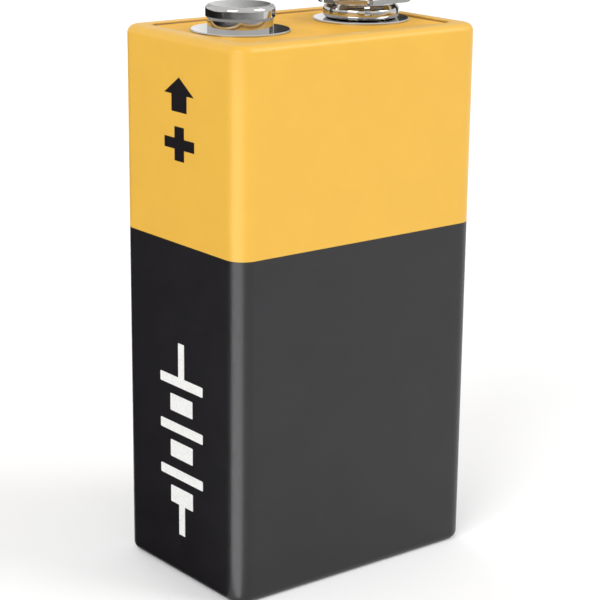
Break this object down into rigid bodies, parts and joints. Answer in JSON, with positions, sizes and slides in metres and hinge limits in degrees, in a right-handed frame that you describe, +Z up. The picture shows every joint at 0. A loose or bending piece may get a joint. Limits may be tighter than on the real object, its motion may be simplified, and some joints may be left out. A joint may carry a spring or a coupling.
{
  "type": "nine volt battery",
  "caption": "Block battery of upright cells in a crimped, film-wrapped steel jacket, with a snap stud and a snap socket on its lid.",
  "frame": {"origin": "centre of the foot, on the surface that the battery stands on", "axes": "+Z up through the contacts, +X from the positive stud to the negative socket, +Y to the wide side with the laps of the jacket and label"},
  "size_m": [0.0252, 0.0165, 0.0483],
  "materials": {
    "label_print": "printed film, two fields of colour, charcoal and amber",
    "cover_plastic": "moulded, amber",
    "bottom_plastic": "moulded, black",
    "tinplate": "tinplated steel sheet",
    "nickel": "bright nickel plate on steel",
    "nickel_strip": "bare nickel strip",
    "card": "pressed insulating card",
    "can_steel": "nickel-plated drawn can",
    "sleeve_film": "shrunk film"
  },
  "bodies": {
    "root": {"bottom_card": "card", "bottom_cover": "bottom_plastic", "cell_1": "can_steel", "cell_2": "can_steel", "cell_3": "can_steel", "cell_4": "can_steel", "cell_5": "can_steel", "cell_6": "can_steel", "cell_sleeve_1": "sleeve_film", "cell_sleeve_2": "sleeve_film", "cell_sleeve_3": "sleeve_film", "cell_sleeve_4": "sleeve_film", "cell_sleeve_5": "sleeve_film", "cell_sleeve_6": "sleeve_film", "jacket": "tinplate", "label": "label_print", "negative_lead": "nickel_strip", "negative_ring": "nickel", "negative_rivet": "nickel", "negative_socket": "nickel", "positive_lead": "nickel_strip", "positive_stud": "nickel", "strap_1_2": "nickel_strip", "strap_2_3": "nickel_strip", "strap_3_4": "nickel_strip", "strap_4_5": "nickel_strip", "strap_5_6": "nickel_strip", "top_card": "card", "top_cover": "cover_plastic"}
  },
  "joints": []
}
